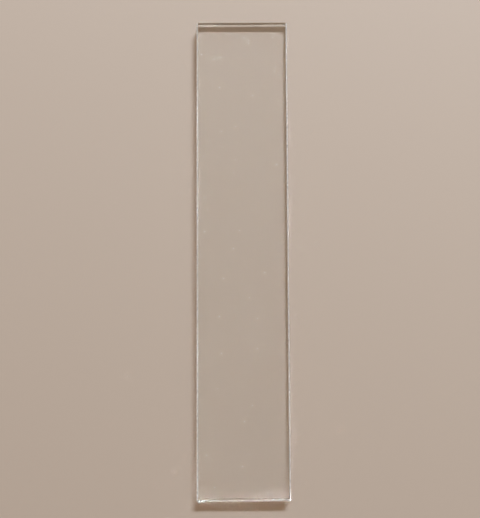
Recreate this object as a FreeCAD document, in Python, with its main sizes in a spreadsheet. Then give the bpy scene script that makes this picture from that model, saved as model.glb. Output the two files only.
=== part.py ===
# Clear acrylic block: one flat, long bar cut from cast acrylic sheet.
# X runs across the width, Y along the length and Z up through the thickness.
# The origin is the middle of the base. The near end, at low Y, carries the mark of the cut:
# where it ran out at the left corner the last of the stock broke away. That left a small nib
# standing out of the end, made of a spur and a ledge, and a shell-shaped flake beside it.
import FreeCAD, Part
import os
import Sketcher
from FreeCAD import Vector

doc = FreeCAD.newDocument("AcrylicBlock")

# Driving dimensions, in millimetres
DRIVING_SIZES = {
    "block_length": (260.0, "length of the block, from end to end"),
    "block_width": (50.0, "width of the block"),
    "sheet_thickness": (5.0, "thickness of the cast sheet"),
    "arris_width": (0.6, "width of the eased arris on every edge"),
    "spur_width": (1.5, "width of the spur, at the end's face"),
    "spur_reach": (0.8, "how far the spur stands out of the end"),
    "ledge_width": (2.6, "width of the ledge beside the spur"),
    "ledge_reach": (0.3, "how far the ledge stands out of the end"),
    "nib_height": (3.2, "how far spur and ledge run down the end"),
    "spur_foot_radius": (0.2, "radius left at the foot of the spur"),
    "flake_width": (8.0, "width of the flake along the top of the end"),
    "flake_depth": (0.75, "depth of the flake into the end"),
    "flake_height": (2.5, "how far the flake runs down the end"),
    "flake_gap": (0.3, "whole stretch of end between ledge and flake"),
}

# Spur and ledge: the radius of a circle cut by the end's face, from the cut's width and its reach.
# Flake: the sphere that meets the top edge of the end over the flake's width, bites its depth into
# the top there and runs out its height further down. Its centre stands back from the end's face,
# and above the top by its rise.
DERIVED_SIZES = {
    "spur_radius": "=(spur_width ^ 2 / 4 + spur_reach ^ 2) / (2 * spur_reach)",
    "ledge_radius": "=(ledge_width ^ 2 / 4 + ledge_reach ^ 2) / (2 * ledge_reach)",
    "flake_back": "=(flake_width ^ 2 / 4 - flake_depth ^ 2) / (2 * flake_depth)",
    "flake_rise": "=(flake_width ^ 2 / 4 - flake_height ^ 2) / (2 * flake_height)",
    "flake_radius": "=sqrt((flake_depth + flake_back) ^ 2 + flake_rise ^ 2)",
    "left_corner": "=-block_width / 2 + arris_width",
    "end_face": "=-block_length / 2",
    "nib_foot": "=sheet_thickness - arris_width - nib_height",
}
sizes = doc.addObject("Spreadsheet::Sheet", "Sizes")
rows = [(alias, meaning, str(value)) for alias, (value, meaning) in DRIVING_SIZES.items()]
rows += [(alias, "worked out", formula) for alias, formula in DERIVED_SIZES.items()]
for row, (alias, meaning, content) in enumerate(rows, start=1):
    sizes.set(f"A{row}", meaning)
    sizes.set(f"B{row}", content)
    sizes.setAlias(f"B{row}", alias)
doc.recompute()

body = doc.addObject("PartDesign::Body", "Block")
body.Label = "acrylic_block"
base_plane = next(feature for feature in body.Origin.OriginFeatures if feature.Role == "XY_Plane")

# Plan of the cut blank: a rectangle about the origin
START, END = 1, 2
ORIGIN = (-1, START)
NEAR, RIGHT, FAR, LEFT = range(4)
plan = body.newObject("Sketcher::SketchObject", "BlankPlan")
plan.AttachmentSupport = [(base_plane, "")]
plan.MapMode = "FlatFace"
corners = [Vector(-1, -1), Vector(1, -1), Vector(1, 1), Vector(-1, 1)]
for side in (NEAR, RIGHT, FAR, LEFT):
    plan.addGeometry(Part.LineSegment(corners[side], corners[(side + 1) % 4]))
for side in (NEAR, RIGHT, FAR, LEFT):
    plan.addConstraint(Sketcher.Constraint("Coincident", side, END, (side + 1) % 4, START))
for side in (NEAR, FAR):
    plan.addConstraint(Sketcher.Constraint("Horizontal", side))
for side in (RIGHT, LEFT):
    plan.addConstraint(Sketcher.Constraint("Vertical", side))
plan.addConstraint(Sketcher.Constraint("Symmetric", NEAR, START, FAR, START, *ORIGIN))
for name, kind, side in (("across", "DistanceX", NEAR), ("along", "DistanceY", RIGHT)):
    index = plan.addConstraint(Sketcher.Constraint(kind, side, START, side, END, 2.0))
    plan.renameConstraint(index, name)
plan.setExpression("Constraints.across", "Sizes.block_width")
plan.setExpression("Constraints.along", "Sizes.block_length")

blank = body.newObject("PartDesign::Pad", "CutBlank")
blank.Profile = plan
blank.setExpression("Length", "Sizes.sheet_thickness")
doc.recompute()

# Every edge of the blank is eased by the same narrow arris
eased = body.newObject("PartDesign::Chamfer", "EasedEdges")
eased.Base = (blank, [f"Edge{n + 1}" for n in range(len(blank.Shape.Edges))])
eased.setExpression("Size", "Sizes.arris_width")
doc.recompute()


def place(feature, x, y, z):
    """Hang a primitive on the body's base plane, its centre at three expressions."""
    feature.AttachmentSupport = [(base_plane, "")]
    feature.MapMode = "FlatFace"
    for axis, expression in zip("xyz", (x, y, z)):
        feature.setExpression(f"AttachmentOffset.Base.{axis}", expression)


# The nib: spur and ledge are cones on end, flat on top under the arris. The spur tapers down to a
# blunt foot, and the foot of the ledge runs out in the end's face.
nib_lobes = {
    "spur": ("Sizes.left_corner + Sizes.spur_width / 2", "Sizes.spur_foot_radius"),
    "ledge": ("Sizes.left_corner + Sizes.spur_width + Sizes.ledge_width / 2",
              "Sizes.ledge_radius - Sizes.ledge_reach"),
}
for lobe, (middle, foot_radius) in nib_lobes.items():
    cone = body.newObject("PartDesign::AdditiveCone", f"Nib_{lobe}")
    cone.setExpression("Radius1", foot_radius)
    cone.setExpression("Radius2", f"Sizes.{lobe}_radius")
    cone.setExpression("Height", "Sizes.nib_height")
    place(cone, middle, f"Sizes.end_face - Sizes.{lobe}_reach + Sizes.{lobe}_radius", "Sizes.nib_foot")
    doc.recompute()

# The flake: a shallow scoop of a large sphere out of the top of the end
flake = body.newObject("PartDesign::SubtractiveSphere", "Flake")
flake.setExpression("Radius", "Sizes.flake_radius")
flake_middle = " + ".join(f"Sizes.{alias}" for alias in ("left_corner", "spur_width", "ledge_width", "flake_gap"))
place(flake, f"{flake_middle} + Sizes.flake_width / 2",
      "Sizes.end_face - Sizes.flake_back", "Sizes.sheet_thickness + Sizes.flake_rise")
doc.recompute()

# Every object must have recomputed, and the piece must be one valid closed solid
for item in doc.Objects:
    if {"Invalid", "Error"} & set(item.State):
        raise RuntimeError(f"{item.Label} failed: {item.State}")
shape = body.Shape
if shape.isNull() or not shape.isValid() or len(shape.Solids) != 1:
    raise RuntimeError(f"{body.Label} is not one valid solid")

# Each feature in turn must add or take away stock, as it is meant to
steps = [blank, eased, *(doc.getObject(f"Nib_{lobe}") for lobe in nib_lobes), flake]
grows = [False, True, True, False]
for before, after, grew in zip(steps, steps[1:], grows):
    if (after.Shape.Volume > before.Shape.Volume) is not grew:
        raise RuntimeError(f"{after.Label} changed the stock the wrong way")

os.makedirs("parts", exist_ok=True)
shape.exportStep(f"parts/{body.Label}.step")
box = shape.BoundBox
print(f"{body.Label}: {box.XLength:.3f} x {box.YLength:.3f} x {box.ZLength:.3f} mm, {shape.Volume:.1f} mm3")
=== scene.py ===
# Looks of a clear acrylic block: polished faces, cut walls, scraped arrises and a broken corner.
# X runs across the width, Y along the length and Z up through the thickness, in metres.
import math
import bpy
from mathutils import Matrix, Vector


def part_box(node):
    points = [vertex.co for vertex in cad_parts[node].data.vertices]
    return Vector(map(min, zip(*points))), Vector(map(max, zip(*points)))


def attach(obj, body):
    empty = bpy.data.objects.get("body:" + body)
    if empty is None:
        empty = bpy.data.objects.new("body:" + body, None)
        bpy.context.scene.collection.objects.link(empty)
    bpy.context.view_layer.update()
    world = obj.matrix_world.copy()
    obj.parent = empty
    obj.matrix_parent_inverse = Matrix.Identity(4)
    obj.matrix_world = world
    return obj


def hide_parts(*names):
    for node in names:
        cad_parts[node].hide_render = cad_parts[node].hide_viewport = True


bl_info = {
    "name": "Clear acrylic block",
    "version": (1, 0, 0),
    "blender": (4, 5, 0),
    "location": "View3D > Sidebar > Acrylic",
    "description": "Dresses a clear acrylic block with its cut marks, finishes, floor, light and camera",
    "category": "Object",
}

import bmesh
import bpy
import numpy as np
from mathutils import Matrix, Vector

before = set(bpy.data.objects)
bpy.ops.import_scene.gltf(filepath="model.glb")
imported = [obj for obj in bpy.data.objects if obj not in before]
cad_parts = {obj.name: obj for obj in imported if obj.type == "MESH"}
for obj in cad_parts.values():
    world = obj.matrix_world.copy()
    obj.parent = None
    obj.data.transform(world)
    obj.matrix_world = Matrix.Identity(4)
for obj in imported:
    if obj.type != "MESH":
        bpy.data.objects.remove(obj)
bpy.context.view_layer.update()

CAD_NODE = "acrylic_block"
PIECE = "clear_block"

# The block about its own middle: the nib stands out of the near end, so the far end gives the length
LOW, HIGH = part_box(CAD_NODE)
HALF_WIDTH = HIGH.x
HALF_LENGTH = HIGH.y
THICKNESS = HIGH.z

# The finish of each face of the block, kept as a number on the face
(POLISHED, CLEAN_WALL, SAWN_WALL, MARKED_WALL,
 SCRAPED_ARRIS, WORN_ARRIS, CLEAN_ARRIS, BROKEN) = range(8)
WALLS = (CLEAN_WALL, SAWN_WALL, MARKED_WALL)
FINISH_ATTRIBUTE = "finish"
WALL_ATTRIBUTE = "wall_share"
BROKEN_ATTRIBUTE = "broken_share"

# A share on the faces, read at a point, is above this only where all the faces round the point have it
WHOLE = 0.999


class CutSettings(bpy.types.PropertyGroup):
    """Shape of the marks that the cutting left on the walls, and of the ripples in the break"""

    arris: bpy.props.FloatProperty(
        name="Arris", description="Width of the eased edge, from the wall's side",
        default=0.0006, min=0.0, unit="LENGTH")
    pitch: bpy.props.FloatProperty(
        name="Mark pitch", description="Distance from one cut mark to the next",
        default=0.0016, min=0.0002, unit="LENGTH")
    depth: bpy.props.FloatProperty(
        name="Mark depth", description="Depth of a cut mark in the wall",
        default=0.00003, min=0.0, unit="LENGTH")
    faint: bpy.props.FloatProperty(
        name="Faint marks", description="Share of the depth that marks have on the three smoother walls",
        default=0.12, min=0.0, max=1.0, subtype="FACTOR")
    slant: bpy.props.FloatProperty(
        name="Mark slant", description="How far a mark leans along the wall for its height",
        default=0.12)
    wander: bpy.props.FloatProperty(
        name="Mark wander", description="How unevenly the marks are spaced, in pitches",
        default=0.35, min=0.0)
    columns_per_mark: bpy.props.IntProperty(
        name="Columns per mark", description="Strips of mesh across one mark",
        default=8, min=4)
    rows: bpy.props.IntProperty(
        name="Rows", description="Rows of mesh up a wall", default=6, min=3)
    ripple_pitch: bpy.props.FloatProperty(
        name="Ripple pitch", description="Distance from one ripple of the break to the next",
        default=0.0007, min=0.0001, unit="LENGTH")
    ripple_depth: bpy.props.FloatProperty(
        name="Ripple depth", description="Depth of the ripples in the break",
        default=0.000015, min=0.0, unit="LENGTH")
    seed: bpy.props.IntProperty(
        name="Seed", description="Chooses how the marks wander", default=7)


class FinishSettings(bpy.types.PropertyGroup):
    """Looks of the clear plastic"""

    tint: bpy.props.FloatVectorProperty(
        name="Tint", description="Colour of the light that the plastic lets through",
        default=(0.985, 0.993, 0.99), min=0.0, max=1.0, size=3, subtype="COLOR")
    frost: bpy.props.FloatVectorProperty(
        name="Frost", description="Colour of the scraped and cut plastic",
        default=(0.98, 0.965, 0.95), min=0.0, max=1.0, size=3, subtype="COLOR")
    index: bpy.props.FloatProperty(
        name="Refractive index", description="How strongly cast acrylic bends light",
        default=1.49, min=1.0)
    face_clear: bpy.props.FloatProperty(
        name="Clearness of the faces", description="Share of light not lost in dust and fine scratches",
        default=0.997, min=0.0, max=1.0, subtype="FACTOR")
    wall_clear: bpy.props.FloatProperty(
        name="Clearness of the clean walls", description="Share of light that the cut doesn't scatter",
        default=0.99, min=0.0, max=1.0, subtype="FACTOR")
    sawn_clear: bpy.props.FloatProperty(
        name="Clearness of the sawn end", description="Share of light that the near end doesn't scatter",
        default=0.97, min=0.0, max=1.0, subtype="FACTOR")
    marked_clear: bpy.props.FloatProperty(
        name="Clearness of the marked wall", description="Share of light that the cut marks don't scatter",
        default=0.9, min=0.0, max=1.0, subtype="FACTOR")
    scraped_clear: bpy.props.FloatProperty(
        name="Clearness of the left arrises",
        description="Share of light that the scraping doesn't scatter",
        default=0.5, min=0.0, max=1.0, subtype="FACTOR")
    worn_clear: bpy.props.FloatProperty(
        name="Clearness of the right arrises", description="Share of light that the wear doesn't scatter",
        default=0.7, min=0.0, max=1.0, subtype="FACTOR")
    arris_clear: bpy.props.FloatProperty(
        name="Clearness of the clean arrises", description="Share of light that the easing doesn't scatter",
        default=0.98, min=0.0, max=1.0, subtype="FACTOR")
    break_clear: bpy.props.FloatProperty(
        name="Clearness of the break", description="Share of light that the break doesn't scatter",
        default=0.85, min=0.0, max=1.0, subtype="FACTOR")


class StageSettings(bpy.types.PropertyGroup):
    """Floor, light and camera"""

    floor_colour: bpy.props.FloatVectorProperty(
        name="Floor colour", description="Colour of the plain floor",
        default=(0.475, 0.362, 0.282), min=0.0, max=1.0, size=3, subtype="COLOR")
    floor_reach: bpy.props.FloatProperty(
        name="Floor reach", description="Radius of the round floor",
        default=0.8, min=0.3, unit="LENGTH")
    floor_gap: bpy.props.FloatProperty(
        name="Floor gap", description="Film of air under the block",
        default=0.00002, min=0.0, unit="LENGTH")
    key_height: bpy.props.FloatProperty(
        name="Key height", description="Height of the key light over the floor",
        default=1.25, min=0.1, unit="LENGTH")
    key_centre: bpy.props.FloatVectorProperty(
        name="Key centre", description="Place of the key light across and along, in heights",
        default=(0.55, 1.56), size=2)
    key_size: bpy.props.FloatVectorProperty(
        name="Key size", description="Width and depth of the key light, in heights",
        default=(0.8, 0.3), size=2)
    key_power: bpy.props.FloatProperty(
        name="Key power", description="Power of the key light, for one metre of height",
        default=96.0, min=0.0, unit="POWER")
    key_colour: bpy.props.FloatVectorProperty(
        name="Key colour", description="Cool colour of the key light",
        default=(0.8, 1.0, 1.22), min=0.0, max=2.0, size=3, subtype="COLOR")
    sky_colour: bpy.props.FloatVectorProperty(
        name="Sky colour", description="Warm colour of the light from all round",
        default=(1.15, 1.0, 0.82), min=0.0, max=2.0, size=3, subtype="COLOR")
    sky_strength: bpy.props.FloatProperty(
        name="Sky strength", description="Strength of the light from all round",
        default=0.42, min=0.0)
    backdrop_strength: bpy.props.FloatProperty(
        name="Backdrop strength", description="Strength of the sky where camera and plastic see it",
        default=0.5, min=0.0)
    lens: bpy.props.FloatProperty(
        name="Lens", description="Focal length, in millimetres on a 36 mm sensor",
        default=24.99, min=1.0)
    camera_place: bpy.props.FloatVectorProperty(
        name="Camera place", description="Where the camera stands",
        default=(-0.00145, -0.00799, 0.19924), size=3, subtype="TRANSLATION", unit="LENGTH")
    camera_turn: bpy.props.FloatVectorProperty(
        name="Camera turn", description="Pitch, yaw and roll of the camera from straight down",
        default=(math.radians(1.994), math.radians(0.003), math.radians(-0.241)),
        size=3, subtype="EULER", unit="ROTATION")


# Node trees

def add_node(tree, kind, **settings):
    """A new node, with its settings, and with values for the inputs named in settings['values']."""
    node = tree.nodes.new(kind)
    for name, value in settings.pop("values", {}).items():
        node.inputs[name].default_value = value
    for name, value in settings.items():
        setattr(node, name, value)
    return node


def feed(tree, value, socket):
    """Set a socket from a number, a vector or another socket."""
    if isinstance(value, bpy.types.NodeSocket):
        tree.links.new(value, socket)
    else:
        socket.default_value = value


def math_node(tree, operation, *values, clamp=False):
    """The result of a Math node."""
    node = add_node(tree, "ShaderNodeMath", operation=operation, use_clamp=clamp)
    for value, socket in zip(values, node.inputs):
        feed(tree, value, socket)
    return node.outputs["Value"]


# Finishes

def plastic(name, tint, clearness, index):
    """A material of clear plastic, with its Principled shader."""
    material = bpy.data.materials.new(name)
    material.use_nodes = True
    shader = material.node_tree.nodes["Principled BSDF"]
    shader.inputs["Base Color"].default_value = (*tint, 1.0)
    shader.inputs["Transmission Weight"].default_value = clearness
    shader.inputs["IOR"].default_value = index
    return material, shader


def stretched_noise(tree, scale, detail=2.0, turn=0.0):
    """Noise on Object coordinates, drawn out by its scale along each axis, in cycles per metre."""
    place = add_node(tree, "ShaderNodeTexCoord")
    mapping = add_node(tree, "ShaderNodeMapping", values={"Scale": scale, "Rotation": (0.0, 0.0, turn)})
    noise = add_node(tree, "ShaderNodeTexNoise", values={"Scale": 1.0, "Detail": detail})
    tree.links.new(place.outputs["Object"], mapping.inputs["Vector"])
    tree.links.new(mapping.outputs["Vector"], noise.inputs["Vector"])
    return noise.outputs["Fac"]


def spread(tree, value, low, high, to_low, to_high):
    """A value moved from one range to another, held at the ends."""
    node = add_node(tree, "ShaderNodeMapRange")
    for name, number in (("From Min", low), ("From Max", high), ("To Min", to_low), ("To Max", to_high)):
        node.inputs[name].default_value = number
    tree.links.new(value, node.inputs["Value"])
    return node.outputs["Result"]


def bump(tree, shader, height, distance):
    """Relief too fine for the mesh, by height and in metres."""
    node = add_node(tree, "ShaderNodeBump", values={"Distance": distance})
    tree.links.new(height, node.inputs["Height"])
    tree.links.new(node.outputs["Normal"], shader.inputs["Normal"])


def polished_finish(look):
    """Cast surface, as it comes from the mould, with wipe marks and a few hairline scratches."""
    wipe_cycles = (30.0, 9.0, 9.0)
    wipe_turn = math.radians(12)
    wiped_roughness = 0.035
    scratch_cycles = (900.0, 11.0, 9.0)
    scratch_turns = [math.radians(turn) for turn in (8, 71, -38)]
    scratch_depth = 0.0000004
    material, shader = plastic("polished_face", look.tint, look.face_clear, look.index)
    tree = material.node_tree
    wiped = stretched_noise(tree, wipe_cycles, detail=3.0, turn=wipe_turn)
    rough = spread(tree, wiped, 0.35, 0.75, 0.0, wiped_roughness)
    tree.links.new(rough, shader.inputs["Roughness"])
    hairlines = [
        spread(tree, stretched_noise(tree, scratch_cycles, turn=turn), 0.72, 0.76, 0.0, 1.0)
        for turn in scratch_turns
    ]
    height = math_node(tree, "MAXIMUM", hairlines[0], hairlines[1])
    height = math_node(tree, "MAXIMUM", height, hairlines[2])
    bump(tree, shader, height, distance=-scratch_depth)
    return material


def wall_finish(name, look, clearness, haze, relief):
    """Cut wall: upright striations, finer than the marks in the mesh, between gloss and haze."""
    coarse_cycles = (1100.0, 1100.0, 60.0)
    fine_cycles = (4200.0, 4200.0, 120.0)
    coarse_share = 0.6
    fine_share = 0.4
    material, shader = plastic(name, look.frost, clearness, look.index)
    tree = material.node_tree
    coarse = stretched_noise(tree, coarse_cycles)
    fine = stretched_noise(tree, fine_cycles)
    weighted = math_node(tree, "MULTIPLY", coarse, coarse_share)
    striae = math_node(tree, "MULTIPLY_ADD", fine, fine_share, weighted)
    rough = spread(tree, striae, 0.35, 0.65, 0.0, haze)
    tree.links.new(rough, shader.inputs["Roughness"])
    bump(tree, shader, striae, distance=relief)
    return material


def arris_finish(name, look, clearness, haze, relief):
    """Eased arris: short scratches along the edge, and a look between clear and frosted."""
    scratch_cycles = (4000.0, 1500.0, 4000.0)
    least_haze = 0.3 * haze
    material, shader = plastic(name, look.frost, clearness, look.index)
    tree = material.node_tree
    scraped = stretched_noise(tree, scratch_cycles)
    rough = spread(tree, scraped, 0.3, 0.7, least_haze, haze)
    tree.links.new(rough, shader.inputs["Roughness"])
    bump(tree, shader, scraped, distance=relief)
    return material


def broken_finish(look):
    """Broken plastic: nearly glossy, with a grain that the ripples of the mesh carry."""
    grain_cycles = (2400.0, 2400.0, 2400.0)
    grain_depth = 0.000008
    smoothest = 0.06
    roughest = 0.3
    material, shader = plastic("broken_corner", look.frost, look.break_clear, look.index)
    tree = material.node_tree
    grain = stretched_noise(tree, grain_cycles, detail=4.0)
    rough = spread(tree, grain, 0.35, 0.65, smoothest, roughest)
    tree.links.new(rough, shader.inputs["Roughness"])
    bump(tree, shader, grain, distance=grain_depth)
    return material


# The block's mesh

def merged_copy(node):
    """A bmesh of a CAD node: doubles merged, and each flat face one face again."""
    same_point = 1e-6
    same_plane = math.radians(0.1)
    mesh = bmesh.new()
    mesh.from_mesh(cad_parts[node].data)
    bmesh.ops.remove_doubles(mesh, verts=mesh.verts[:], dist=same_point)
    bmesh.ops.dissolve_limit(mesh, angle_limit=same_plane, verts=mesh.verts[:], edges=mesh.edges[:])
    mesh.normal_update()
    return mesh


def lies_on(value, plane):
    """Whether a coordinate lies on a plane of the block."""
    slack = 1e-5
    return abs(value - plane) < slack


def finish_of(face):
    """Which finish a face of the bare block takes, from where it lies and how it leans."""
    square = 0.9999
    slight = 0.01
    middle = face.calc_center_median()
    lean = [abs(part) for part in face.normal]
    along_one_axis = max(lean) > square
    if along_one_axis and (lies_on(middle.z, THICKNESS) or lies_on(middle.z, 0.0)):
        return POLISHED
    if along_one_axis and lies_on(middle.x, HALF_WIDTH):
        return MARKED_WALL
    if along_one_axis and lies_on(middle.y, -HALF_LENGTH):
        return SAWN_WALL
    if along_one_axis and (lies_on(middle.x, -HALF_WIDTH) or lies_on(middle.y, HALF_LENGTH)):
        return CLEAN_WALL
    shares = [part for part in lean if part > slight]
    if len(shares) < 2 or max(shares) - min(shares) > slight:
        return BROKEN
    if lean[1] > slight:
        return CLEAN_ARRIS
    return SCRAPED_ARRIS if middle.x < 0.0 else WORN_ARRIS


def split_at(mesh, faces, place, axis):
    """Split faces by a plane across one axis, and return all the faces that come of it."""
    on_plane = 1e-7
    parts = set(faces)
    edges = {edge for face in parts for edge in face.edges}
    verts = {vert for face in parts for vert in face.verts}
    touched = [*parts, *edges, *verts]
    point = axis * place
    cut = bmesh.ops.bisect_plane(mesh, geom=touched, dist=on_plane, plane_co=point, plane_no=axis)
    return [item for item in cut["geom"] if isinstance(item, bmesh.types.BMFace)]


def column_wall(mesh, wall, cut):
    """Divide one wall into columns for its marks, and into rows. The end with the break is divided
    only clear of it."""
    across = abs(wall.normal.x) > 0.5
    along = Vector((0, 1, 0)) if across else Vector((1, 0, 0))
    reach = (HALF_LENGTH if across else HALF_WIDTH) - cut.arris
    near_end = lies_on(wall.calc_center_median().y, -HALF_LENGTH)
    start = clear_of_break(mesh) if near_end else -reach
    step = cut.pitch / cut.columns_per_mark
    count = int((reach - start) / step)
    rest = wall
    columns = []
    for number in range(0 if near_end else 1, count):
        parts = split_at(mesh, [rest], start + number * step, along)
        parts.sort(key=lambda face: face.calc_center_median().dot(along))
        rest = parts[-1]
        if number or not near_end:
            columns += parts[:-1]
    columns.append(rest)
    height = THICKNESS - 2 * cut.arris
    for row in range(1, cut.rows):
        columns = split_at(mesh, columns, cut.arris + height * row / cut.rows, Vector((0, 0, 1)))


def clear_of_break(mesh):
    """Where, across the near end, the wall is whole again beside the break."""
    margin = 0.0003
    finish = mesh.faces.layers.int[FINISH_ATTRIBUTE]
    broken = [v.co.x for face in mesh.faces if face[finish] == BROKEN for v in face.verts]
    return max(broken) + margin


def sphere_through(points):
    """Centre and radius of the sphere that fits points best."""
    rows = np.array([[2 * p.x, 2 * p.y, 2 * p.z, 1.0] for p in points])
    squares = np.array([p.length_squared for p in points])
    x, y, z, rest = np.linalg.lstsq(rows, squares, rcond=None)[0]
    centre = Vector((x, y, z))
    return centre, math.sqrt(rest + centre.length_squared)


def refine_flake(mesh):
    """Give the flake small faces that lie on its own round surface. Its rim stays as it is."""
    cuts = 3
    slack = 1e-6
    near_sphere = 0.0001
    finish = mesh.faces.layers.int[FINISH_ATTRIBUTE]
    flake = [
        face for face in mesh.faces if face[finish] == BROKEN and face.normal.y < 0
        and all(v.co.y > -HALF_LENGTH - slack and v.co.z < THICKNESS + slack for v in face.verts)
    ]
    centre, radius = sphere_through([v.co for face in flake for v in face.verts])
    inner = {e for face in flake for e in face.edges if all(other in flake for other in e.link_faces)}
    bmesh.ops.subdivide_edges(mesh, edges=list(inner), cuts=cuts, use_grid_fill=True)
    for vert in mesh.verts:
        if vert.link_faces and all(face[finish] == BROKEN for face in vert.link_faces):
            away = vert.co - centre
            if abs(away.length - radius) < near_sphere:
                vert.co = centre + away.normalized() * radius


def write_finishes(mesh):
    """Note each face's finish on it."""
    finish = mesh.faces.layers.int.new(FINISH_ATTRIBUTE)
    for face in mesh.faces:
        face[finish] = finish_of(face)


def write_shares(mesh):
    """Turn the finishes into shares on the faces, and make the line between two finishes sharp."""
    finish = mesh.faces.layers.int[FINISH_ATTRIBUTE]
    kinds_of = {WALL_ATTRIBUTE: WALLS, BROKEN_ATTRIBUTE: (BROKEN,)}
    layers = {name: mesh.faces.layers.float.new(name) for name in kinds_of}
    for face in mesh.faces:
        for name, kinds in kinds_of.items():
            face[layers[name]] = 1.0 if face[finish] in kinds else 0.0
        face.smooth = any(face[layer] for layer in layers.values())
    for edge in mesh.edges:
        kinds = {face[finish] for face in edge.link_faces}
        edge.smooth = len(kinds) == 1


# Geometry Nodes: cut marks on the walls and ripples in the break

def marks_tree(finishes):
    """The node group that presses the marks and the ripples in, and gives each face its finish.
    Returns it with the identifiers of its inputs, by name."""
    tree = bpy.data.node_groups.new("cut_marks", "GeometryNodeTree")
    tree.is_modifier = True
    tree.interface.new_socket("Geometry", in_out="INPUT", socket_type="NodeSocketGeometry")
    tree.interface.new_socket("Geometry", in_out="OUTPUT", socket_type="NodeSocketGeometry")
    inputs = {
        name: tree.interface.new_socket(name, in_out="INPUT", socket_type=kind).identifier
        for name, kind in (
            ("Arris", "NodeSocketFloat"), ("Thickness", "NodeSocketFloat"),
            ("Half Length", "NodeSocketFloat"), ("Half Width", "NodeSocketFloat"),
            ("Pitch", "NodeSocketFloat"), ("Depth", "NodeSocketFloat"),
            ("Faint", "NodeSocketFloat"), ("Slant", "NodeSocketFloat"), ("Wander", "NodeSocketFloat"),
            ("Ripple Pitch", "NodeSocketFloat"), ("Ripple Depth", "NodeSocketFloat"),
            ("Strike", "NodeSocketVector"), ("Seed", "NodeSocketFloat"))
    }
    given = add_node(tree, "NodeGroupInput").outputs
    normal = add_node(tree, "GeometryNodeInputNormal").outputs["Normal"]
    inward = math_node(tree, "ADD", mark_depth(tree, given, normal), ripple_depth(tree, given))
    offset = add_node(tree, "ShaderNodeVectorMath", operation="SCALE")
    tree.links.new(normal, offset.inputs["Vector"])
    tree.links.new(math_node(tree, "MULTIPLY", inward, -1.0), offset.inputs["Scale"])
    pressed = add_node(tree, "GeometryNodeSetPosition")
    tree.links.new(given["Geometry"], pressed.inputs["Geometry"])
    tree.links.new(offset.outputs["Vector"], pressed.inputs["Offset"])
    realized = add_node(tree, "GeometryNodeRealizeInstances")
    tree.links.new(pressed.outputs["Geometry"], realized.inputs["Geometry"])
    geometry = realized.outputs["Geometry"]
    for kind, material in finishes.items():
        same = add_node(tree, "FunctionNodeCompare", data_type="INT", operation="EQUAL")
        tree.links.new(named_value(tree, FINISH_ATTRIBUTE, "INT"), same.inputs["A"])
        same.inputs["B"].default_value = kind
        painted = add_node(tree, "GeometryNodeSetMaterial", values={"Material": material})
        tree.links.new(geometry, painted.inputs["Geometry"])
        tree.links.new(same.outputs["Result"], painted.inputs["Selection"])
        geometry = painted.outputs["Geometry"]
    tree.links.new(geometry, add_node(tree, "NodeGroupOutput").inputs["Geometry"])
    return tree, inputs


def named_value(tree, name, kind):
    """The socket of an attribute of the mesh."""
    node = add_node(tree, "GeometryNodeInputNamedAttribute", data_type=kind, values={"Name": name})
    return node.outputs["Attribute"]


def parts_of(tree, vector):
    """The X, Y and Z sockets of a vector."""
    node = add_node(tree, "ShaderNodeSeparateXYZ")
    tree.links.new(vector, node.inputs["Vector"])
    return node.outputs


def choose(tree, test, when_false, when_true):
    """One of two numbers, by a test."""
    node = add_node(tree, "GeometryNodeSwitch", input_type="FLOAT")
    tree.links.new(test, node.inputs["Switch"])
    feed(tree, when_false, node.inputs["False"])
    feed(tree, when_true, node.inputs["True"])
    return node.outputs["Output"]


def noise_along(tree, along, seed, cycles):
    """Smooth noise from 0 to 1 along a line, with so many cycles per metre."""
    point = add_node(tree, "ShaderNodeCombineXYZ")
    tree.links.new(along, point.inputs["X"])
    tree.links.new(seed, point.inputs["Y"])
    noise = add_node(tree, "ShaderNodeTexNoise", values={"Scale": cycles, "Detail": 1.0})
    tree.links.new(point.outputs["Vector"], noise.inputs["Vector"])
    return noise.outputs["Fac"]


def mark_depth(tree, given, normal):
    """How deep the cut marks press each point of a wall in. They are deep on the right wall alone."""
    wander_cycles = 180.0
    strength_cycles = 45.0
    facing = 0.7
    place = parts_of(tree, add_node(tree, "GeometryNodeInputPosition").outputs["Position"])
    lean = parts_of(tree, normal)["X"]
    share = choose(tree, math_node(tree, "GREATER_THAN", lean, facing), given["Faint"], 1.0)
    long_wall = math_node(tree, "GREATER_THAN", math_node(tree, "ABSOLUTE", lean), facing)
    along = choose(tree, long_wall, place["X"], place["Y"])
    reach = choose(tree, long_wall, given["Half Width"], given["Half Length"])
    slanted = math_node(tree, "MULTIPLY_ADD", place["Z"], given["Slant"], along)
    uneven = noise_along(tree, along, given["Seed"], wander_cycles)
    wander = math_node(tree, "MULTIPLY", uneven, given["Wander"])
    phase = math_node(tree, "ADD", math_node(tree, "DIVIDE", slanted, given["Pitch"]), wander)
    wave = math_node(tree, "SINE", math_node(tree, "MULTIPLY", phase, math.pi))
    scallop = math_node(tree, "ABSOLUTE", wave)
    strength = noise_along(tree, along, given["Seed"], strength_cycles)
    low = math_node(tree, "SUBTRACT", place["Z"], given["Arris"])
    top = math_node(tree, "SUBTRACT", given["Thickness"], given["Arris"])
    rim = math_node(tree, "MINIMUM", low, math_node(tree, "SUBTRACT", top, place["Z"]))
    side = math_node(tree, "SUBTRACT", reach, given["Arris"])
    aside = math_node(tree, "SUBTRACT", side, math_node(tree, "ABSOLUTE", along))
    rim = math_node(tree, "MINIMUM", rim, aside)
    fade = math_node(tree, "DIVIDE", rim, given["Arris"], clamp=True)
    whole = math_node(tree, "GREATER_THAN", named_value(tree, WALL_ATTRIBUTE, "FLOAT"), WHOLE)
    depth = given["Depth"]
    for factor in (scallop, strength, share, fade, whole):
        depth = math_node(tree, "MULTIPLY", depth, factor)
    return depth


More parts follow.
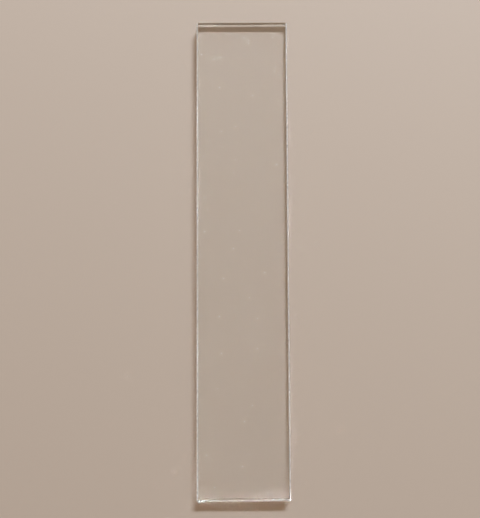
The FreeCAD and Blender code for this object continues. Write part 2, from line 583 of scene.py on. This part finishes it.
def ripple_depth(tree, given):
    """How deep the ripples, that spread from where the break began, press each point in."""
    place = add_node(tree, "GeometryNodeInputPosition")
    distance = add_node(tree, "ShaderNodeVectorMath", operation="DISTANCE")
    tree.links.new(place.outputs["Position"], distance.inputs[0])
    tree.links.new(given["Strike"], distance.inputs[1])
    turns = math_node(tree, "DIVIDE", distance.outputs["Value"], given["Ripple Pitch"])
    wave = math_node(tree, "COSINE", math_node(tree, "MULTIPLY", turns, 2 * math.pi))
    share = math_node(tree, "MULTIPLY_ADD", wave, 0.5, 0.5)
    inside = math_node(tree, "GREATER_THAN", named_value(tree, BROKEN_ATTRIBUTE, "FLOAT"), WHOLE)
    return math_node(tree, "MULTIPLY", math_node(tree, "MULTIPLY", given["Ripple Depth"], share), inside)


def press_marks(piece, cut, finishes):
    """Run the node group on the piece, and keep its result as a plain mesh."""
    tree, inputs = marks_tree(finishes)
    modifier = piece.modifiers.new("marks", "NODES")
    modifier.node_group = tree
    values = {
        "Arris": cut.arris, "Thickness": THICKNESS,
        "Half Length": HALF_LENGTH, "Half Width": HALF_WIDTH,
        "Pitch": cut.pitch, "Depth": cut.depth,
        "Faint": cut.faint, "Slant": cut.slant, "Wander": cut.wander,
        "Ripple Pitch": cut.ripple_pitch, "Ripple Depth": cut.ripple_depth,
        "Strike": (-HALF_WIDTH, LOW.y, THICKNESS - cut.arris), "Seed": float(cut.seed),
    }
    for name, value in values.items():
        modifier[inputs[name]] = value
    graph = bpy.context.evaluated_depsgraph_get()
    finished = bpy.data.meshes.new_from_object(piece.evaluated_get(graph))
    piece.modifiers.remove(modifier)
    piece.data = finished
    for name in (WALL_ATTRIBUTE, BROKEN_ATTRIBUTE):
        finished.attributes.remove(finished.attributes[name])


def make_block(cut, look):
    """The clear block: the CAD block's faces, with marks in its walls and ripples in its break."""
    mesh = merged_copy(CAD_NODE)
    write_finishes(mesh)
    finish = mesh.faces.layers.int[FINISH_ATTRIBUTE]
    refine_flake(mesh)
    for wall in [face for face in mesh.faces if face[finish] in WALLS]:
        column_wall(mesh, wall, cut)
    write_shares(mesh)
    data = bpy.data.meshes.new(PIECE)
    mesh.to_mesh(data)
    mesh.free()
    piece = bpy.data.objects.new(PIECE, data)
    bpy.context.scene.collection.objects.link(piece)
    finishes = {
        POLISHED: polished_finish(look),
        CLEAN_WALL: wall_finish("clean_wall", look, look.wall_clear, haze=0.01, relief=0.0000003),
        SAWN_WALL: wall_finish("sawn_end", look, look.sawn_clear, haze=0.03, relief=0.0000005),
        MARKED_WALL: wall_finish("marked_wall", look, look.marked_clear, haze=0.14, relief=0.000005),
        SCRAPED_ARRIS: arris_finish("scraped_arris", look, look.scraped_clear, haze=0.45, relief=0.000004),
        WORN_ARRIS: arris_finish("worn_arris", look, look.worn_clear, haze=0.45, relief=0.000004),
        CLEAN_ARRIS: arris_finish("clean_arris", look, look.arris_clear, haze=0.02, relief=0.0000003),
        BROKEN: broken_finish(look),
    }
    press_marks(piece, cut, finishes)
    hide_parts(CAD_NODE)
    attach(piece, "root")


# Floor, light and camera

def lay_floor(stage):
    """A plain pale round floor, a film of air below the block."""
    segments = 128
    sheen = 0.22
    mottle_cycles = (260.0, 260.0, 260.0)
    least_rough = 0.88
    most_rough = 0.92
    reach = stage.floor_reach
    low = -stage.floor_gap
    angles = [2 * math.pi * number / segments for number in range(segments)]
    rim = [(reach * math.cos(angle), reach * math.sin(angle), low) for angle in angles]
    data = bpy.data.meshes.new("floor")
    data.from_pydata(rim, [], [tuple(range(segments))])
    floor = bpy.data.objects.new("floor", data)
    bpy.context.scene.collection.objects.link(floor)
    material = bpy.data.materials.new("plain_floor")
    material.use_nodes = True
    tree = material.node_tree
    shader = tree.nodes["Principled BSDF"]
    shader.inputs["Base Color"].default_value = (*stage.floor_colour, 1.0)
    shader.inputs["Specular IOR Level"].default_value = sheen
    mottle = stretched_noise(tree, mottle_cycles, detail=4.0)
    rough = spread(tree, mottle, 0.3, 0.7, least_rough, most_rough)
    tree.links.new(rough, shader.inputs["Roughness"])
    data.materials.append(material)


def hang_lights(stage):
    """One soft cool light from the far right, and warm light from all round. The camera and the
    plastic see the backdrop, and the floor under the block is lit as the floor beside it is."""
    before_diffuse = 0.5
    height = stage.key_height
    lamp = bpy.data.lights.new("key", "AREA")
    lamp.shape = "RECTANGLE"
    lamp.size = stage.key_size[0] * height
    lamp.size_y = stage.key_size[1] * height
    lamp.energy = stage.key_power * height ** 2
    lamp.color = stage.key_colour
    key = bpy.data.objects.new("key", lamp)
    key.location = (stage.key_centre[0] * height, stage.key_centre[1] * height, height)
    key.visible_camera = False
    bpy.context.scene.collection.objects.link(key)

    world = bpy.data.worlds.new("studio")
    world.use_nodes = True
    bpy.context.scene.world = world
    tree = world.node_tree
    light = tree.nodes["Background"]
    light.inputs["Color"].default_value = (*stage.sky_colour, 1.0)
    light.inputs["Strength"].default_value = stage.sky_strength
    backdrop = add_node(tree, "ShaderNodeBackground", values={
        "Color": (*stage.sky_colour, 1.0), "Strength": stage.backdrop_strength})
    path = add_node(tree, "ShaderNodeLightPath").outputs
    seen = math_node(tree, "MAXIMUM", path["Is Camera Ray"], path["Is Glossy Ray"])
    seen = math_node(tree, "MAXIMUM", seen, path["Is Transmission Ray"])
    direct = math_node(tree, "LESS_THAN", path["Diffuse Depth"], before_diffuse)
    seen = math_node(tree, "MULTIPLY", seen, direct)
    mix = add_node(tree, "ShaderNodeMixShader")
    tree.links.new(seen, mix.inputs["Fac"])
    tree.links.new(light.outputs["Background"], mix.inputs[1])
    tree.links.new(backdrop.outputs["Background"], mix.inputs[2])
    tree.links.new(mix.outputs["Shader"], tree.nodes["World Output"].inputs["Surface"])


def place_camera(stage):
    """The camera, almost straight above the block."""
    full_frame = 36.0
    nearest = 0.01
    pitch, yaw, roll = stage.camera_turn
    data = bpy.data.cameras.new("camera")
    data.sensor_width = full_frame
    data.lens = stage.lens
    data.clip_start = nearest
    camera = bpy.data.objects.new("camera", data)
    turn = Matrix.Rotation(yaw, 4, "Y") @ Matrix.Rotation(pitch, 4, "X") @ Matrix.Rotation(roll, 4, "Z")
    camera.matrix_world = Matrix.Translation(Vector(stage.camera_place)) @ turn
    bpy.context.scene.collection.objects.link(camera)
    bpy.context.scene.camera = camera


def set_paths(scene):
    """Let light bounce far enough to run along inside the block, keep what it brings to the floor
    through the plastic, and keep the colours plain."""
    bounces = 32
    training = 16
    scene.cycles.max_bounces = bounces
    scene.cycles.transmission_bounces = bounces
    scene.cycles.glossy_bounces = bounces
    scene.cycles.sample_clamp_indirect = 0.0
    scene.cycles.blur_glossy = 0.0
    scene.cycles.use_guiding = True
    scene.cycles.guiding_training_samples = training
    scene.view_settings.view_transform = "Standard"


# Operators, panel and registration

class ACRYLIC_OT_make_block(bpy.types.Operator):
    """Make the clear block around the CAD block"""

    bl_idname = "acrylic.make_block"
    bl_label = "Make clear block"

    def execute(self, context):
        make_block(context.scene.acrylic_cut, context.scene.acrylic_finish)
        return {"FINISHED"}


class ACRYLIC_OT_set_stage(bpy.types.Operator):
    """Lay the floor, hang the lights and place the camera"""

    bl_idname = "acrylic.set_stage"
    bl_label = "Set stage"

    def execute(self, context):
        stage = context.scene.acrylic_stage
        lay_floor(stage)
        hang_lights(stage)
        place_camera(stage)
        set_paths(context.scene)
        return {"FINISHED"}


class ACRYLIC_PT_panel(bpy.types.Panel):
    """The block's steps, in the sidebar of the 3D view"""

    bl_label = "Acrylic block"
    bl_space_type = "VIEW_3D"
    bl_region_type = "UI"
    bl_category = "Acrylic"

    def draw(self, context):
        for operator in OPERATORS:
            self.layout.operator(operator.bl_idname)


OPERATORS = (ACRYLIC_OT_make_block, ACRYLIC_OT_set_stage)
SETTINGS = {
    "acrylic_cut": CutSettings,
    "acrylic_finish": FinishSettings,
    "acrylic_stage": StageSettings,
}
CLASSES = (*SETTINGS.values(), *OPERATORS, ACRYLIC_PT_panel)


def register():
    for item in CLASSES:
        bpy.utils.register_class(item)
    for name, group in SETTINGS.items():
        setattr(bpy.types.Scene, name, bpy.props.PointerProperty(type=group))


def unregister():
    for name in SETTINGS:
        delattr(bpy.types.Scene, name)
    for item in reversed(CLASSES):
        bpy.utils.unregister_class(item)


def main():
    register()
    bpy.ops.acrylic.make_block()
    bpy.ops.acrylic.set_stage()


if __name__ == "__main__":
    main()
